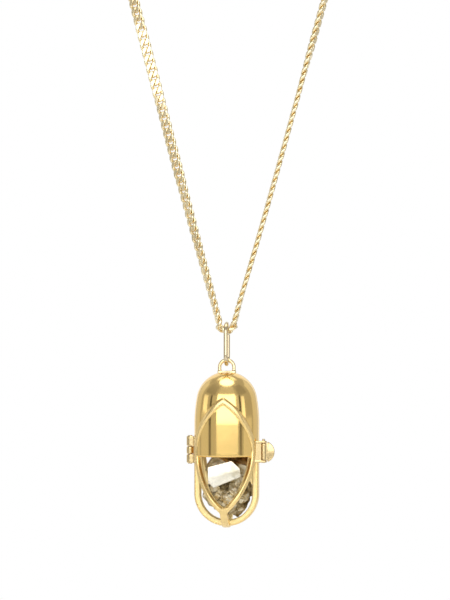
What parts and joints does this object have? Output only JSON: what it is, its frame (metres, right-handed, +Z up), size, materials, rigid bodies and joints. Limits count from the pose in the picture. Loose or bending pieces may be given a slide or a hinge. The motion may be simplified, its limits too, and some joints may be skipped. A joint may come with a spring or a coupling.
{
  "type": "capsule pendant necklace",
  "caption": "Hinged capsule locket with a solid dome over an open cage that holds a rough pyrite cluster, on a bail and a curb chain that goes round the neck.",
  "frame": {"origin": "middle of the clasp at the nape, where the worn chain rests on the back of the neck", "axes": "+Z up, -Y forwards: the pendant hangs in front at -Y and shows its front to -Y; +X is the side of the capsule's clasp"},
  "size_m": [0.1114, 0.073, 0.2588],
  "materials": {
    "capsule_gold": "mirror-polished yellow gold plate",
    "chain_gold": "polished yellow gold plate",
    "pyrite": "rough cubic crystals with a metallic lustre"
  },
  "bodies": {
    "necklace": {"chain": "chain_gold", "neck_clasp": "chain_gold"},
    "bail": {"bail": "capsule_gold"},
    "back": {"back_half": "capsule_gold", "pyrite": "pyrite"},
    "front": {"front_half": "capsule_gold", "hinge_pin": "capsule_gold", "latch_pin": "capsule_gold"},
    "latch": {"latch": "capsule_gold"}
  },
  "joints": [
    {"name": "bail_swing", "type": "hinge", "parent": "necklace", "child": "bail", "pos_m": [0, -0.065, -0.218], "axis": [1, 0, 0], "range_deg": [-60, 60]},
    {"name": "capsule_swing", "type": "hinge", "parent": "bail", "child": "back", "pos_m": [0, -0.065, -0.22464], "axis": [0, 1, 0], "range_deg": [-40, 40]},
    {"name": "front_opening", "type": "hinge", "parent": "back", "child": "front", "pos_m": [-0.0074, -0.065, -0.242], "axis": [0, 0, -1], "range_deg": [0, 150]},
    {"name": "latch_turn", "type": "hinge", "parent": "front", "child": "latch", "pos_m": [0.00756, -0.0662, -0.242], "axis": [0, 0, -1], "range_deg": [0, 35]}
  ]
}
